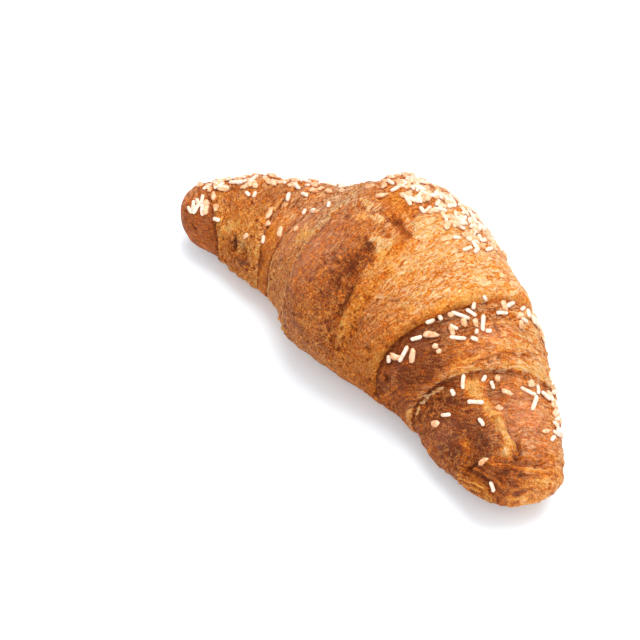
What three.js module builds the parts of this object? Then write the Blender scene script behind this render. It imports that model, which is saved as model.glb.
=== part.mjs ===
// A baked croissant, filled and whole: one bowed roll of wrapped dough, thick in the middle, with a slender
// tip at -X, a blunt one at +X and a flat underside that it rests on. Millimetres, +Z up. The bow's outer
// side faces +Y. The origin is under the middle of its bounding box, on the surface that it stands on.
import * as THREE from 'three';

// Whole body
const LENGTH = 165; // from tip to tip, along X
const BOW = 24.5; // how far the middle stands off the line between the tips
const BOW_POWER = 2.45; // 2 is a parabola, more keeps the middle straighter
const WIDTHS = [23.5, 27.5, 41, 54, 70, 69.5, 62.5, 53.5, 44.5, 43.5, 53]; // at every tenth of the length
const HEIGHTS = [20, 22.5, 31, 39, 50.5, 51, 46.5, 39.5, 30, 27, 30]; // at the same places
const TIP_ROUNDING = { slender: { length: 12, power: 2.2 }, blunt: { length: 48, power: 2.4 } };
const TIP_LIFT = { slender: 6, blunt: 2.5 }; // how far each tip curls up off the surface
const LIFT_REACH = 0.3; // the part of the length over which a tip lifts

// Cross-section: a rounded oval that is cut off flat below
const OVAL_POWER = 2.25;
const WIDEST_AT = 0.44; // the height of the widest place, as a part of the whole height
const UNDERSIDE_DEPTH = 1.12; // the lower half is this much deeper before the flat cuts it off

// The wraps of dough. Each seam is given by its distance in mm from the slender tip at the front, on top and
// at the back. 'over' is +1 where the wrap on the blunt tip's side lies on top, -1 where the other one does.
const SEAMS = [
  { front: 16, top: 9, back: 8, over: 1, step: 1.3 },
  { front: 35, top: 32, back: 38, over: -1, step: 1.0 },
  { front: 42.5, top: 46, back: 51, over: 1, step: 2.2 },
  { front: 62, top: 58, back: 62, over: 1, step: 1.6 },
  { front: 90, top: 82, back: 80, over: 1, step: 1.0 },
  { front: 108, top: 112, back: 114, over: -1, step: 2.6 },
  { front: 127, top: 131, back: 137, over: -1, step: 2.0 },
  { front: 155, top: 158, back: 157, over: -1, step: 0.5 },
];

// The edge of a wrap: heights as parts of the step, reaches in mm
const LIP = { height: 0.55, reach: 9, rounding: 0.9 };
const SINK = { depth: 0.45, reach: 5, rounding: 0.5 };
const CREASE = { depth: 0.25, reach: 1.1 };
const CLOSING = { level: 0.65, slope: 0.9, least: 0.25 }; // seams are shallower towards the underside

// Places where the dough swelled, tore or sank: distance from the slender tip and angle round the body
// (0 at the back, 90 on top, 180 at the front), size along and around, and height, negative for a hollow
const SWELLS = [
  { name: 'neck behind the slender tip', at: 11, angle: 45, along: 5, around: 10, height: -1.0 },
  { name: 'ridge of the slender end', at: 21, angle: 42, along: 5.5, around: 11, height: 2.8 },
  { name: 'front of the slender end', at: 23, angle: 205, along: 7, around: 9, height: 1.0 },
  { name: 'saddle before the big wraps', at: 42, angle: 60, along: 7, around: 18, height: -1.8 },
  { name: 'foot of the big wrap', at: 57, angle: 207, along: 6, around: 12, height: 1.0 },
  { name: 'back of the big wrap', at: 67, angle: 35, along: 6, around: 12, height: -1.2 },
  { name: 'back of the stretched wrap', at: 96, angle: 28, along: 9, around: 14, height: 0.9 },
  { name: 'foot of the laminated wrap', at: 110, angle: 200, along: 5, around: 9, height: 0.9 },
  { name: 'back of the laminated wrap', at: 123, angle: 20, along: 6, around: 12, height: 1.1 },
  { name: 'back of the blunt end', at: 141, angle: 17, along: 8, around: 10, height: -0.6 },
  { name: 'cheek of the blunt end', at: 139, angle: 190, along: 9, around: 14, height: 2.0 },
  { name: 'torn bubble', at: 26.7, angle: 160, along: 2.6, around: 2.6, height: -2.2 },
  { name: 'knot of dough on the middle seam', at: 82.5, angle: 103, along: 3, around: 2.6, height: 1.6 },
  { name: 'pit behind the laminated edge', at: 114, angle: 164, along: 1.8, around: 1.8, height: -1.0 },
  { name: 'ridge beside the crack', at: 149.5, angle: 95.5, along: 7.5, around: 2.0, height: 1.2 },
  { name: 'crack in the blunt end', at: 149, angle: 86, along: 6, around: 1.6, height: -2.0 },
  { name: 'hole at the end of the crack', at: 157, angle: 90, along: 1.6, around: 1.6, height: -1.5 },
];

// Broad unevenness of the dough, as waves through space
const LUMPS = [
  { height: 0.35, x: 7.3, y: 9.1, z: 11.0, phase: 1.3 },
  { height: 0.3, x: -10.4, y: 6.7, z: 8.3, phase: 0.4 },
  { height: 0.25, x: 5.1, y: -7.9, z: 6.1, phase: 2.2 },
];
const FADE_HEIGHT = 8; // relief fades out over the lowest part, so that the underside stays flat
const FADE_AT_TIPS = { slender: 4, blunt: 2 };

// Fineness of the faceted solid
const ROWS_PER_WRAP = 9;
const COLUMNS = 48;
const PROBE = { distance: 0.05, angle: 0.002 }; // how far apart the points lie that a normal is taken from

const CRUST = { color: 0xc47a35, roughness: 0.55, metalness: 0 };

const clamp01 = (value) => Math.min(Math.max(value, 0), 1);
const radians = (degrees) => (degrees * Math.PI) / 180;
const signedPower = (value, power) => Math.sign(value) * Math.abs(value) ** power;

// A smooth curve through evenly spaced values, at a place from 0 to 1
function through(values, place) {
  const last = values.length - 1;
  const slope = (i) => (values[Math.min(i + 1, last)] - values[Math.max(i - 1, 0)]) / (i % last ? 2 : 1);
  const x = clamp01(place) * last;
  const i = Math.min(Math.floor(x), last - 1);
  const t = x - i;
  const ease = t * t * (3 - 2 * t);
  const leave = t * (1 - t) ** 2 * slope(i);
  const arrive = t * t * (t - 1) * slope(i + 1);
  return values[i] * (1 - ease) + values[i + 1] * ease + leave + arrive;
}

// The line through the middle of the roll: how far it is bowed, and its slope
function spine(distance) {
  const side = (2 * distance) / LENGTH - 1;
  const y = BOW * (1 - Math.abs(side) ** BOW_POWER);
  const slope = (-BOW * BOW_POWER * signedPower(side, BOW_POWER - 1) * 2) / LENGTH;
  return { y, slope };
}

// 1 along the body, falling to 0 at the very tips
function tipRounding(distance) {
  const { slender, blunt } = TIP_ROUNDING;
  const oval = (inward, { length, power }) => (1 - clamp01(1 - inward / length) ** power) ** (1 / power);
  return oval(distance, slender) * oval(LENGTH - distance, blunt);
}

function tipLift(distance) {
  const reach = LENGTH * LIFT_REACH;
  const curl = (inward) => clamp01(1 - inward / reach) ** 2;
  return TIP_LIFT.slender * curl(distance) + TIP_LIFT.blunt * curl(LENGTH - distance);
}

// A point of the smooth body, before wraps and unevenness
function bodyPoint(distance, angle) {
  const width = through(WIDTHS, distance / LENGTH);
  const height = through(HEIGHTS, distance / LENGTH);
  const rounding = tipRounding(distance);
  const { y, slope } = spine(distance);
  const across = ((width * rounding) / 2) * signedPower(Math.cos(angle), 2 / OVAL_POWER);
  const up = signedPower(Math.sin(angle), 2 / OVAL_POWER) * rounding * height;
  const half = up > 0 ? 1 - WIDEST_AT : WIDEST_AT * UNDERSIDE_DEPTH;
  const z = Math.max(WIDEST_AT * height + half * up, 0) + tipLift(distance);
  const run = Math.hypot(slope, 1);
  return new THREE.Vector3(distance - LENGTH / 2 - (across * slope) / run, y + across / run, z);
}

function seamPlace({ front, top, back }, angle) {
  const toBack = Math.cos(angle);
  return top + ((back - front) / 2) * toBack + ((front + back) / 2 - top) * toBack * toBack;
}

// The overlap at one seam: a rounded lip on the wrap above, and the wrap below sinking in under it
function seamRelief(seam, distance, angle) {
  const inward = (distance - seamPlace(seam, angle)) * seam.over;
  const crease = -CREASE.depth * Math.exp(-((inward / CREASE.reach) ** 2));
  if (inward < 0) return seam.step * (crease - SINK.depth * Math.exp(inward / SINK.reach));
  const lip = LIP.height * Math.exp(-inward / LIP.reach) * (1 - Math.exp(-inward / LIP.rounding));
  return seam.step * (crease + lip - SINK.depth * Math.exp(-inward / SINK.rounding));
}

function swellRelief(swell, distance, angle) {
  const along = (distance - swell.at) / swell.along;
  const radius = through(WIDTHS, swell.at / LENGTH) / 2;
  const turn = Math.atan2(Math.sin(angle - radians(swell.angle)), Math.cos(angle - radians(swell.angle)));
  const around = (turn * radius) / swell.around;
  return swell.height * Math.exp(-(along ** 2) - around ** 2);
}

function lumpRelief(point) {
  const wave = ({ height, x, y, z, phase }) => height * Math.sin(point.x / x + point.y / y + point.z / z + phase);
  return LUMPS.reduce((sum, lump) => sum + wave(lump), 0);
}

function outwardNormal(distance, angle) {
  const before = bodyPoint(Math.max(distance - PROBE.distance, 0), angle);
  const after = bodyPoint(Math.min(distance + PROBE.distance, LENGTH), angle);
  const along = after.sub(before);
  const around = bodyPoint(distance, angle + PROBE.angle).sub(bodyPoint(distance, angle - PROBE.angle));
  return around.cross(along).normalize();
}

// A point of the finished surface
function crustPoint(distance, angle) {
  const point = bodyPoint(distance, angle);
  const seams = SEAMS.reduce((sum, seam) => sum + seamRelief(seam, distance, angle), 0);
  const swells = SWELLS.reduce((sum, swell) => sum + swellRelief(swell, distance, angle), 0);
  const atTips = clamp01(distance / FADE_AT_TIPS.slender) * clamp01((LENGTH - distance) / FADE_AT_TIPS.blunt);
  const openness = Math.max(CLOSING.least, clamp01(CLOSING.level + CLOSING.slope * Math.sin(angle)));
  const relief = (seams * openness + swells + lumpRelief(point)) * clamp01(point.z / FADE_HEIGHT) * atTips;
  point.addScaledVector(outwardNormal(distance, angle), relief);
  point.z = Math.max(point.z, 0);
  return point;
}

// Rows of points that run parallel to the seams, and closer together beside them
function rowPlaces(angle) {
  const edges = [0, ...SEAMS.map((seam) => seamPlace(seam, angle)), LENGTH];
  const places = [];
  for (let wrap = 0; wrap < edges.length - 1; wrap += 1) {
    const span = edges[wrap + 1] - edges[wrap];
    for (let row = 0; row < ROWS_PER_WRAP; row += 1) {
      const eased = (1 - Math.cos((Math.PI * row) / ROWS_PER_WRAP)) / 2;
      places.push(edges[wrap] + span * eased);
    }
  }
  return places.slice(1);
}

function crustGeometry() {
  const angles = Array.from({ length: COLUMNS }, (_, column) => (2 * Math.PI * column) / COLUMNS);
  const columns = angles.map((angle) => rowPlaces(angle).map((distance) => crustPoint(distance, angle)));
  const rows = columns[0].length;
  const points = [crustPoint(0, 0), ...columns.flat(), crustPoint(LENGTH, 0)];
  const slenderTip = 0;
  const bluntTip = points.length - 1;
  const at = (row, column) => 1 + (column % COLUMNS) * rows + row;
  const faces = [];
  for (let column = 0; column < COLUMNS; column += 1) {
    faces.push(slenderTip, at(0, column + 1), at(0, column));
    for (let row = 0; row < rows - 1; row += 1) {
      const corners = [at(row, column), at(row, column + 1), at(row + 1, column + 1), at(row + 1, column)];
      faces.push(corners[0], corners[1], corners[2], corners[0], corners[2], corners[3]);
    }
    faces.push(at(rows - 1, column), at(rows - 1, column + 1), bluntTip);
  }
  const geometry = new THREE.BufferGeometry().setFromPoints(points);
  geometry.setIndex(faces);
  return geometry;
}

// Moves the geometry so that the origin lies under the middle of its box
function standOnOrigin(geometry) {
  geometry.computeBoundingBox();
  const { min, max } = geometry.boundingBox;
  geometry.translate(-(min.x + max.x) / 2, -(min.y + max.y) / 2, -min.z);
  geometry.computeVertexNormals();
  return geometry;
}

function croissant() {
  const mesh = new THREE.Mesh(standOnOrigin(crustGeometry()), new THREE.MeshStandardMaterial(CRUST));
  mesh.name = 'croissant';
  return mesh;
}

const pastry = new THREE.Group();
pastry.add(croissant());

export default pastry;
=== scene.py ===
"""A filled croissant with sugar on its crust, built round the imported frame.

The crust repeats the CAD solid's formula on a much finer grid, and adds what baking leaves on it: laminated
edges, blisters, pores, tears and crumbs. Shape values are in millimetres and degrees; MM turns them into
metres. Distance runs along the roll from its slender tip. Angle runs round it: 0 at the back, 90 on top, 180
at the front, 270 underneath.
"""

import itertools
import math
from types import SimpleNamespace

import bpy
import numpy as np
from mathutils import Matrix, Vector
from mathutils.bvhtree import BVHTree


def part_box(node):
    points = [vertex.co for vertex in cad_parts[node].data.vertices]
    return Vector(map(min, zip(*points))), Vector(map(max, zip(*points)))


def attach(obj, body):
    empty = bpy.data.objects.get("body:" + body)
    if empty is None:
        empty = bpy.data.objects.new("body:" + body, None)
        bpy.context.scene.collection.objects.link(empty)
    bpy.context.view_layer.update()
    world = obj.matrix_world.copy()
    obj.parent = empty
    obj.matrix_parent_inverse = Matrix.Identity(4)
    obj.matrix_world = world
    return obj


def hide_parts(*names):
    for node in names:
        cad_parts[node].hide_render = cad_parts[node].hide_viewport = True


MM = 0.001
UNDERSIDE = 270

# ---- the camera, as in the photograph
LENS = 135
SENSOR = 36
CAMERA_AZIMUTH = 49.3
CAMERA_ELEVATION = 48
CAMERA_DISTANCE = 0.799
CAMERA_TARGET = Vector((-0.0241, -0.0141, 0))

# ---- the croissant's form, as in the CAD solid
LENGTH = 165
BOW = 24.5
BOW_POWER = 2.45
WIDTHS = (23.5, 27.5, 41, 54, 70, 69.5, 62.5, 53.5, 44.5, 43.5, 53)
HEIGHTS = (20, 22.5, 31, 39, 50.5, 51, 46.5, 39.5, 30, 27, 30)
SLENDER_TIP = SimpleNamespace(length=12, power=2.2, lift=6, fade=4)
BLUNT_TIP = SimpleNamespace(length=48, power=2.4, lift=2.5, fade=2)
LIFT_REACH = 0.3
OVAL_POWER = 2.25
WIDEST_AT = 0.44
UNDERSIDE_DEPTH = 1.12
FADE_HEIGHT = 8

# Seams: distance at the front, on top and at the back; which side's wrap lies on top; height of the step
SEAMS = (
    (16, 9, 8, 1, 1.3),
    (35, 32, 38, -1, 1),
    (42.5, 46, 51, 1, 2.2),
    (62, 58, 62, 1, 1.6),
    (90, 82, 80, 1, 1),
    (108, 112, 114, -1, 2.6),
    (127, 131, 137, -1, 2),
    (155, 158, 157, -1, 0.5),
)
LIP_HEIGHT, LIP_REACH, LIP_ROUNDING = 0.55, 9, 0.9
SINK_DEPTH, SINK_REACH, SINK_ROUNDING = 0.45, 5, 0.5
CREASE_DEPTH, CREASE_REACH = 0.25, 1.1
CLOSING_LEVEL, CLOSING_SLOPE, CLOSING_LEAST = 0.65, 0.9, 0.25

# Swells and hollows: distance, angle, size along, size around, height
SWELLS = {
    "neck behind slender tip": (11, 45, 5, 10, -1),
    "ridge of slender end": (21, 42, 5.5, 11, 2.8),
    "front of slender end": (23, 205, 7, 9, 1),
    "saddle before big wraps": (42, 60, 7, 18, -1.8),
    "foot of big wrap": (57, 207, 6, 12, 1),
    "back of big wrap": (67, 35, 6, 12, -1.2),
    "back of stretched wrap": (96, 28, 9, 14, 0.9),
    "foot of laminated wrap": (110, 200, 5, 9, 0.9),
    "back of laminated wrap": (123, 20, 6, 12, 1.1),
    "back of blunt end": (141, 17, 8, 10, -0.6),
    "cheek of blunt end": (139, 190, 9, 14, 2),
    "torn bubble": (26.7, 160, 2.6, 2.6, -2.2),
    "knot of dough on middle seam": (82.5, 103, 3, 2.6, 1.6),
    "pit behind laminated edge": (114, 164, 1.8, 1.8, -1),
    "ridge beside crack": (149.5, 95.5, 7.5, 2, 1.2),
    "crack in blunt end": (149, 86, 6, 1.6, -2),
    "hole at end of crack": (157, 90, 1.6, 1.6, -1.5),
}
# Broad waves through the dough: height, wavelengths along x, y and z, phase
LUMPS = ((0.35, 7.3, 9.1, 11, 1.3), (0.3, -10.4, 6.7, 8.3, 0.4), (0.25, 5.1, -7.9, 6.1, 2.2))

# ---- what baking did to each wrap, and the light and shade painted onto it
# From the slender tip on: how brown at the back, on top, on the shoulder and at the foot (0 pale, 1 dark);
# how much pale flake there, which at the back and on top is also a painted sheen where the key light glances
# off; how blistered there; how laminated; how unevenly baked
PROFILE_FROM, PROFILE_TO = 45, 180
WRAPS = (
    ("slender tip", (0.42, 0.54, 0.55, 0.58), (0.5, 0.3, 0, 0), (0.3, 0.3, 0.3, 0.3), 0.3, 0.55),
    ("torn wrap", (0.44, 0.38, 0.2, 0.28), (0.6, 0.3, 0.1, 0), (0.6, 0.9, 1.1, 1.2), 0.4, 0.9),
    ("smooth wedge", (0.38, 0.42, 0.32, 0.26), (0.9, 0.7, 0.1, 0), (0.4, 0.4, 0.4, 0.4), 0.4, 0.7),
    ("thin speckled wrap", (0.28, 0.3, 0.31, 0.25), (1.3, 1.1, 0.3, 0), (0.8, 1, 1.1, 1.1), 0.3, 1.2),
    ("big glossy wrap", (0.36, 0.44, 0.57, 0.37), (0.7, 0.4, 0.1, 0.1), (0.2, 0.3, 0.9, 1.4), 0.3, 1.1),
    ("stretched wrap", (0.14, 0.12, 0.28, 0.34), (1.5, 1.2, 0.1, 0), (0.3, 0.4, 0.8, 1), 0.4, 0.7),
    ("laminated wrap", (0.28, 0.62, 1.04, 0.64), (0.8, 0.4, 0, 0), (0.5, 0.5, 0.3, 0.3), 1, 0.9),
    ("blunt wrap", (0.3, 0.6, 0.9, 0.56), (0.6, 0.3, 0, 0), (0.5, 0.6, 0.7, 1), 0.4, 0.9),
    ("curled end", (0.26, 0.62, 0.84, 0.5), (0.3, 0.1, 0, 0), (0.3, 0.4, 0.4, 0.5), 1.4, 0.9),
)
# Beside each seam: how far before the lip's own edge its light rim shows; change in brownness and its reach
# on the lip that lies on top (lighter: a painted highlight where the raised lip catches the light), and on
# the shoulder that comes out from under it (darker: painted shade under the lip); over how many mm the two
# wraps' colours run into each other; how sharp the lip is; how much pale flake there is on it, which adds to
# the painted highlight
EDGES = (
    (0.3, -0.14, 1.2, 0.16, 3, 0.6, 0.8, 0.1),
    (0, -0.34, 0.7, 0.16, 2, 0.6, 1, 0.5),
    (1.4, -0.4, 1, 0.2, 2, 0.6, 1.3, 1),
    (1.8, -0.4, 1.1, 0.1, 2, 0.8, 1.6, 0.9),
    (0, -0.04, 3, 0.1, 1.5, 5, 0.3, 0),
    (0, -0.1, 1.5, 0.16, 5, 0.5, 0.1, -1.2),
    (-0.6, -0.42, 2, 0.12, 2, 0.5, 0.6, 0.5),
    (0, -0.1, 1.2, 0.08, 2, 2.5, 0.1, 0),
)
RIM_HEIGHT, RIM_REACH, RIM_FOOT, RIM_FOOT_REACH = 0.42, 1.1, 0.4, 0.8
RIM_LEVEL, RIM_FRAY = 0.8, 0.6
# Painted shade: a dark line in the crease just past each lip's edge; how dark, how far past the edge, how
# wide
SHADE, SHADE_BEFORE, SHADE_REACH = 0.2, 0.4, 0.5
RAGGED, FINELY_RAGGED = 0.5, 0.2
# Patches: distance, angle, size along, size around, change in brownness, change in pale flake
PATCH_STRENGTH, PATCH_FRAY = 1.2, 0.7
PATCHES = {
    "dark side of slender tip": (9, 150, 4, 6, 0.1, 0),
    "golden cheek of torn wrap": (19.5, 136, 2.2, 2.6, -0.28, 0.2),
    "golden side of torn wrap": (25, 120, 5, 5, -0.14, 0),
    "rim of torn bubble": (23, 155, 0.45, 3, 1.3, 0),
    "lower rim of bubble": (24.6, 149, 1.4, 0.5, 0.7, 0),
    "golden inside of bubble": (26, 153, 1.8, 2.6, -0.22, 0.7),
    "dark line in bubble": (27.2, 159, 0.3, 1.6, 0.5, 0),
    "scorched foot of bubble": (27, 172, 2.2, 1.5, 0.6, 0),
    "scorched corner of bubble": (30.2, 168, 1.6, 1.4, 0.55, 0),
    "scorched side of bubble": (30.6, 164, 1.2, 1.2, 0.4, 0),
    "brown spot on torn wrap": (27.5, 86, 2.6, 2, 0.24, -0.1),
    "dark heart of smooth wedge": (36.2, 158, 1.7, 4.4, 0.26, -0.1),
    "orange band across wedge": (36.5, 123, 2.4, 2.4, -0.12, -0.4),
    "orange top of wedge": (36.5, 109, 3, 3, -0.12, 0),
    "red spot on wedge": (38, 90, 2.5, 2.4, 0.28, -0.2),
    "pale edge of wedge": (39.6, 158, 1, 7, -0.12, 0.1),
    "bare dough on thin wrap": (54.4, 119, 2.2, 2, -1, -0.6),
    "mauve side of thin wrap": (49, 139, 5, 4.5, 0.16, 0.1),
    "red spot on thin wrap": (52, 105, 1.4, 1.4, 0.26, -0.3),
    "light fold on thin wrap": (56, 98, 0.8, 9, -0.1, 1.2),
    # A painted highlight: a pale line where the big wrap's raised edge catches the light
    "lit edge of big wrap": (57.5, 148, 1.4, 9, -0.1, 0.2),
    "orange streaks on big wrap": (65, 152, 4.5, 2.6, -0.2, -0.1),
    # A painted sheen: more pale flake where the egg wash shines on the shoulder
    "glossy shoulder": (69, 118, 5, 7, 0.02, 0.25),
    "darkest shoulder": (81.4, 120, 3, 6, 0.46, -0.4),
    "tail of darkest shoulder": (79.5, 107, 2.6, 1.2, 0.34, -0.2),
    "front of darkest shoulder": (76, 125, 3, 1.8, 0.26, -0.1),
    "mottled side": (81, 143, 4.5, 7, 0.16, 0),
    # A painted shadow: a dark line in the groove beside the golden ridge, where the big wrap shades it
    "painted shadow beside ridge": (87, 150, 0.8, 9, 0.34, -0.1),
    "dark foot beside ridge": (88.6, 168, 1.2, 3, 0.26, -0.1),
    "dark foot of big wrap": (75, 177, 4, 2, 0.26, 0),
    "scorched foot by seam": (87, 178, 2.6, 2, 0.34, 0),
    "purple spot": (65.5, 100, 1.8, 1.2, 0.3, 0.1),
    "knot of dough": (82.4, 102.8, 3.4, 2.2, -0.5, 0.8),
    # A painted shadow: darker on the knot's front, lower side, away from the light
    "painted shadow beside knot": (80.5, 107.5, 2, 1.6, 0.5, -0.4),
    "orange dough behind knot": (87.4, 97.5, 2.2, 4, 0.22, -1.2),
    "red fold behind knot": (84.6, 90.5, 2.4, 1.5, 0.48, -1.2),
    "golden dough below knot": (86.6, 107.5, 2, 3, -0.2, -0.5),
    "dark fleck on shoulder": (77.3, 131, 1.1, 0.8, 0.5, 0),
    "orange crown": (74, 80, 6, 4, -0.2, -0.6),
    "red streak on crown": (80.5, 88.5, 4, 1.2, 0.42, -0.9),
    "lower fold on crown": (75.5, 92, 4, 0.8, 0, 0.9),
    "upper fold on crown": (66, 89.5, 4.5, 1, -0.1, 1),
    # Painted shade: a dark line on the unlit side of the raised upper fold
    "painted shade under upper fold": (67, 92, 4, 0.5, 0.3, -0.3),
    "golden spot on crown": (70.2, 96.5, 1.6, 1.2, -0.5, 0),
    "pale spot on crown": (87.6, 84.5, 3, 2.6, -0.2, 0.8),
    "golden ridge": (91, 147, 2.4, 13, -0.16, -0.8),
    "grey side of golden ridge": (95.5, 131, 1.1, 6, 0.12, 0.5),
    "flaky side of stretched wrap": (99, 140, 5, 9, 0.08, 0.3),
    "first orange flow": (91.6, 113, 1.1, 5, 0.12, -0.8),
    "second orange flow": (97, 103, 1.4, 3, 0.1, -0.8),
    "third orange flow": (101, 88, 1.4, 5, 0.06, -0.6),
    "pale dough between flows": (93.8, 106, 1.6, 4, -0.06, 0.6),
    "orange strip at seam": (110.2, 96, 1.2, 14, 0, -1),
    "dark shoulder of laminated wrap": (116, 130, 4.5, 10, 0.12, 0),
    "red heart of laminated wrap": (123, 127, 2.2, 3.5, 0.16, 0),
    "golden spot in layers": (118.6, 127, 0.9, 2.6, -0.34, 0),
    "orange side of laminated wrap": (124.5, 103, 3.5, 6, -0.12, -0.1),
    # Painted shade: darker in the pit at the laminated wrap's foot
    "pit at foot of laminated wrap": (112.5, 167, 1.1, 1.6, 0.6, 0),
    "pale fold beside pit": (115.5, 160, 0.8, 4, -0.2, 0.3),
    # A painted sheen: lighter and paler on the shiny top of the laminated wrap
    "glossy top of laminated wrap": (122.8, 76, 2.2, 5, -0.16, 0.6),
    "red crease on laminated wrap": (120.8, 72.5, 2.2, 0.6, 0.5, -0.4),
    "golden back of laminated wrap": (131, 42, 2.5, 7, -0.2, 0.1),
    "golden streak before lip": (126.3, 92, 1.2, 14, -0.2, -0.1),
    "dark line before lip": (127.4, 90, 0.35, 9, 0.4, 0),
    "golden patch behind lip": (133.8, 105, 4.2, 3, -1, 0.1),
    "golden streak to crack": (140.8, 100.5, 3.6, 1.7, -0.72, 0.05),
    "dark under golden streak": (141.5, 114, 3, 3, 0.14, 0),
    "dark side behind lip": (134.5, 131, 2.4, 8, 0.16, 0),
    "orange patch on blunt wrap": (148.5, 137, 2.6, 2.6, -0.55, 0),
    "orange edge of blunt wrap": (153, 146, 1.6, 5, -0.3, 0),
    "dark upper blunt wrap": (151.5, 117, 4.5, 4.5, 0.26, 0),
    "dark lower blunt wrap": (145, 160, 2.8, 4.5, 0.36, 0),
    "dark spot on blunt wrap": (149, 152, 1.8, 1.8, 0.26, 0),
    "red top of blunt wrap": (137, 94, 4, 2, 0.18, 0),
    # A painted sheen: paler on the shiny back of the blunt wrap
    "glossy back of blunt wrap": (150, 74, 7, 6, -0.02, 0.4),
    "pale ridge beside crack": (147.2, 96.8, 3.4, 1.7, -0.9, 0.35),
    "end of pale ridge": (152.8, 92.6, 3.4, 1.5, -0.9, 0.35),
    "pale flap at hole": (156.4, 99.5, 2.2, 1.6, -0.75, 0.4),
    # Painted shade in hollows: the crack, its end, the hole and the short dark line below are darkened where
    # they sink in
    "crack": (150.4, 90.2, 2.6, 0.5, 0.6, -0.4),
    "end of crack": (154.6, 86.8, 2.4, 0.5, 0.6, -0.4),
    "pale strand under crack": (151, 83.4, 4, 0.6, -0.3, 0.2),
    "hole": (157.6, 90.5, 0.8, 0.8, 0.9, -0.2),
    "short dark line": (148.5, 116.5, 2.6, 0.35, 0.45, 0),
    # Painted shade: the slits in the end are darkened where they sink in
    "left slit in end": (156.5, 142, 0.5, 6, 0.7, 0),
    "right slit in end": (161.4, 108, 0.5, 5, 0.7, 0),
    "outer slit in end": (162.6, 84, 0.5, 5, 0.7, 0),
    "golden edge of slit": (161.4, 80, 0.7, 6, -0.4, 0.2),
    "dark end of roll": (164.2, 103, 0.8, 4, 0.15, 0),
    "golden curled end": (159.5, 155, 3.5, 4.5, -0.26, 0),
}

# Where the egg wash stayed thick and shiny, which lowers roughness and mixes a painted sheen into the
# colour: distance, angle, size along, size around, strength
GLOSSY = {
    "slender tip": (9, 142, 4, 6, 0.3),
    "back of thin wrap": (47.5, 114, 4.5, 12, 1.1),
    "shoulder of big wrap": (67, 131, 7.5, 14, 0.8),
    "shoulder of laminated wrap": (115, 136, 2.5, 12, 0.2),
    "top of laminated wrap": (122.5, 77, 3, 6, 1),
    "front of blunt wrap": (141, 152, 6, 9, 0.5),
    "back of blunt wrap": (146, 72, 9, 9, 1),
    "curled end": (161, 140, 2, 5, 0.3),
}
# Small folds, tears and holes: distance, angle, size along, size around, height
DETAILS = {
    "rim of torn bubble": (21.9, 157, 0.7, 3.4, 0.9),
    "gap inside rim": (23.2, 157, 0.55, 3.4, -2),
    "inside of bubble": (26, 158, 2.4, 2.2, -1.4),
    "first strand in bubble": (25.4, 158, 0.35, 2, 1),
    "second strand in bubble": (26.6, 158, 0.35, 2, 1),
    "lower edge of bubble": (27.5, 168, 2.6, 0.6, 1),
    "knot of dough": (82.5, 101.5, 2.4, 2.4, 0.5),
    "notch in knot": (83.4, 98.5, 0.8, 0.6, -0.9),
    "golden ridge": (90.6, 148, 2, 13, 1.1),
    "groove beside ridge": (86.8, 148, 0.9, 9, -0.7),
    "hollow behind ridge": (94.8, 145, 1.4, 11, -0.6),
    "fold across shoulder": (66, 128, 1.2, 6, 0.5),
    "light fold on thin wrap": (56, 98, 0.8, 9, 0.6),
    "fold on crown": (75.5, 92, 5, 0.9, 0.7),
    "lower fold on crown": (79, 89, 5, 0.8, -0.6),
    "upper fold on crown": (66, 89.5, 4.5, 0.9, 0.7),
    "pit at foot of laminated wrap": (112.5, 168, 1.1, 1.1, -1.1),
    "fold beside pit": (115.5, 160, 0.8, 4, 0.7),
    "red crease on laminated wrap": (120.8, 72.5, 2.2, 0.5, -0.9),
    "torn dough behind lip": (134, 105, 2.4, 0.8, 0.8),
    "ridge beside crack": (147.2, 96.8, 3.4, 0.9, 1.3),
    "end of ridge": (152.8, 92.6, 3.4, 0.9, 1.3),
    "crack": (150.4, 90.4, 2.6, 0.5, -1.9),
    "end of crack": (154.6, 87, 2.4, 0.5, -1.9),
    "strand under crack": (151, 83.4, 4, 0.6, 0.7),
    "flap at hole": (156.4, 99.5, 2.2, 0.9, 1),
    "hole": (157.7, 90.5, 0.9, 0.9, -2.4),
    "short dark line": (148.5, 116.5, 2.6, 0.3, -0.7),
    "left slit in end": (156.5, 142, 0.5, 6, -1.4),
    "right slit in end": (161.4, 108, 0.5, 5, -1.4),
    "outer slit in end": (162.6, 84, 0.5, 5, -1.4),
    "lower slit in end": (159.6, 150, 0.5, 6, -1.2),
}
# Clusters of bubbles: distance, angle, spread along, spread round (degrees), how many
PORES = {"hollow behind ridge": (94, 149, 2.6, 24, 34)}
CRUMBS = {
    "knot of dough": (82.4, 102.8, 3.2, 3, 18),
    "upper fold on crown": (66.5, 90, 4.5, 2, 9),
    "lower fold on crown": (76, 93, 4, 2, 8),
    "pale flap at hole": (156, 99, 1.6, 3, 5),
}
# Clear bubbles in a row on a pale lip: which seam, how far past it, how astray, angle, spread, how many
PEARLS = (6, 0.7, 0.3, 150, 23, 15)
# Kinds of bubbles: seed, least and largest radius; change in brownness and in pale flake, whether they burst
PORE = (95, (0.5, 1.1), (0, 0, True))
CRUMB = (97, (0.6, 1.2), (-0.6, 1.3, False))
PEARL = (96, (0.5, 0.95), (-0.9, 3, False))
# Blisters all over, more where a wrap is blistered; margin in rows from the tips
BLISTER = SimpleNamespace(seed=91, tries=2600, radius=(0.4, 1.4), browns=(-0.14, 0.12), burst=0.3, margin=6)
# Pits of burst bubbles: size as a share of the radius, depth in mm, and how much darker they are, a painted
# shade in the pit
PIT_SIZE, PIT_DEPTH, PIT_SHADE = 0.4, 0.5, 0.6
# Domes of whole ones: height as a share of the radius, how pointed
DOME_HEIGHT, DOME_POWER = 0.3, 1.5
# How many rows and columns of the grid a bubble can reach
BUBBLE_REACH = 12

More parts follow.
